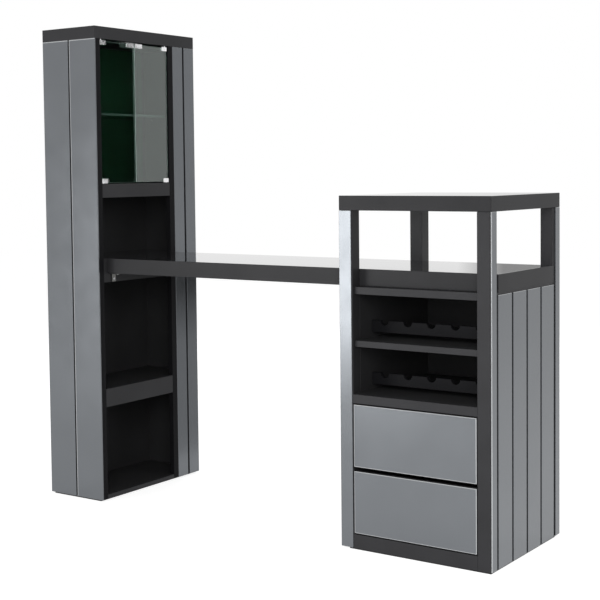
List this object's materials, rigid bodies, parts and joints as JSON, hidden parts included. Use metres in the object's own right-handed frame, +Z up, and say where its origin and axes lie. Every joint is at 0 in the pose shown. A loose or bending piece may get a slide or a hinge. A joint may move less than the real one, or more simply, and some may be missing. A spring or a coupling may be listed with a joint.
{
  "type": "bar counter with shelves",
  "caption": "Bar counter board spanning from a tall mirror-clad shelf tower with a glass display case to a drawer and bottle cabinet with an open bay under its cap.",
  "frame": {"origin": "middle of the whole footprint, on the floor", "axes": "+X along the counter from the tower to the cabinet, +Y from the drawer side to the far side, +Z up"},
  "size_m": [2.114, 0.642, 2],
  "materials": {
    "anthracite_board": "satin anthracite laminate",
    "black_board": "matt black board",
    "grey_mirror": "grey tinted mirror strip with polished edges",
    "clear_glass": "clear float glass with a green edge",
    "chrome": "polished chrome",
    "steel": "zinc plated steel",
    "latch_plastic": "moulded grey plastic"
  },
  "bodies": {
    "carcass": {"tower_base": "black_board", "tower_bottom": "anthracite_board", "tower_back": "anthracite_board", "tower_near_cladding": "anthracite_board", "tower_near_side": "anthracite_board", "tower_far_side": "anthracite_board", "tower_facade": "anthracite_board", "door_shelf": "anthracite_board", "counter_shelf": "anthracite_board", "lower_shelf": "anthracite_board", "tower_cap": "anthracite_board", "near_mirror_rear": "grey_mirror", "near_mirror_front": "grey_mirror", "facade_mirror_inner": "grey_mirror", "facade_mirror_outer": "grey_mirror", "case_glass_shelf": "clear_glass", "magnet_latch": "latch_plastic", "counter_board": "anthracite_board", "counter_bracket_near": "steel", "counter_bracket_far": "steel", "cabinet_base": "black_board", "post_front_left": "anthracite_board", "post_front_right": "anthracite_board", "post_back_left": "anthracite_board", "post_back_right": "anthracite_board", "cabinet_cap": "anthracite_board", "cabinet_left_panel": "anthracite_board", "cabinet_right_panel": "anthracite_board", "cabinet_back": "anthracite_board", "cabinet_body_top": "anthracite_board", "wine_shelf": "anthracite_board", "drawer_rail_board": "anthracite_board", "cabinet_plinth": "anthracite_board", "post_mirror_front": "grey_mirror", "side_mirror_front_post": "grey_mirror", "side_mirror_back_post": "grey_mirror", "side_mirror_wide_1": "grey_mirror", "side_mirror_wide_2": "grey_mirror", "side_mirror_wide_3": "grey_mirror", "side_mirror_wide_4": "grey_mirror", "upper_bottle_rail": "anthracite_board", "lower_bottle_rail": "anthracite_board", "upper_runner_left": "steel", "upper_runner_right": "steel", "lower_runner_left": "steel", "lower_runner_right": "steel"},
    "left_door": {"left_door_glass": "clear_glass", "left_door_lower_hinge": "chrome", "left_door_upper_hinge": "chrome", "left_door_strike_clip": "chrome"},
    "right_door": {"right_door_glass": "clear_glass", "right_door_lower_hinge": "chrome", "right_door_upper_hinge": "chrome", "right_door_strike_clip": "chrome"},
    "upper_drawer": {"upper_drawer_mirror": "grey_mirror", "upper_drawer_front": "anthracite_board", "upper_drawer_box": "black_board"},
    "lower_drawer": {"lower_drawer_mirror": "grey_mirror", "lower_drawer_front": "anthracite_board", "lower_drawer_box": "black_board"}
  },
  "joints": [
    {"name": "left_door_pivot", "type": "hinge", "parent": "carcass", "child": "left_door", "pos_m": [-0.7618, -0.277, 1.644], "axis": [0, 0, -1], "range_deg": [0, 95]},
    {"name": "right_door_pivot", "type": "hinge", "parent": "carcass", "child": "right_door", "pos_m": [-0.7618, 0.131, 1.644], "axis": [0, 0, 1], "range_deg": [0, 95]},
    {"name": "upper_drawer_slide", "type": "slide", "parent": "carcass", "child": "upper_drawer", "axis": [0, -1, 0], "range_m": [0, 0.35]},
    {"name": "lower_drawer_slide", "type": "slide", "parent": "carcass", "child": "lower_drawer", "axis": [0, -1, 0], "range_m": [0, 0.35]}
  ]
}
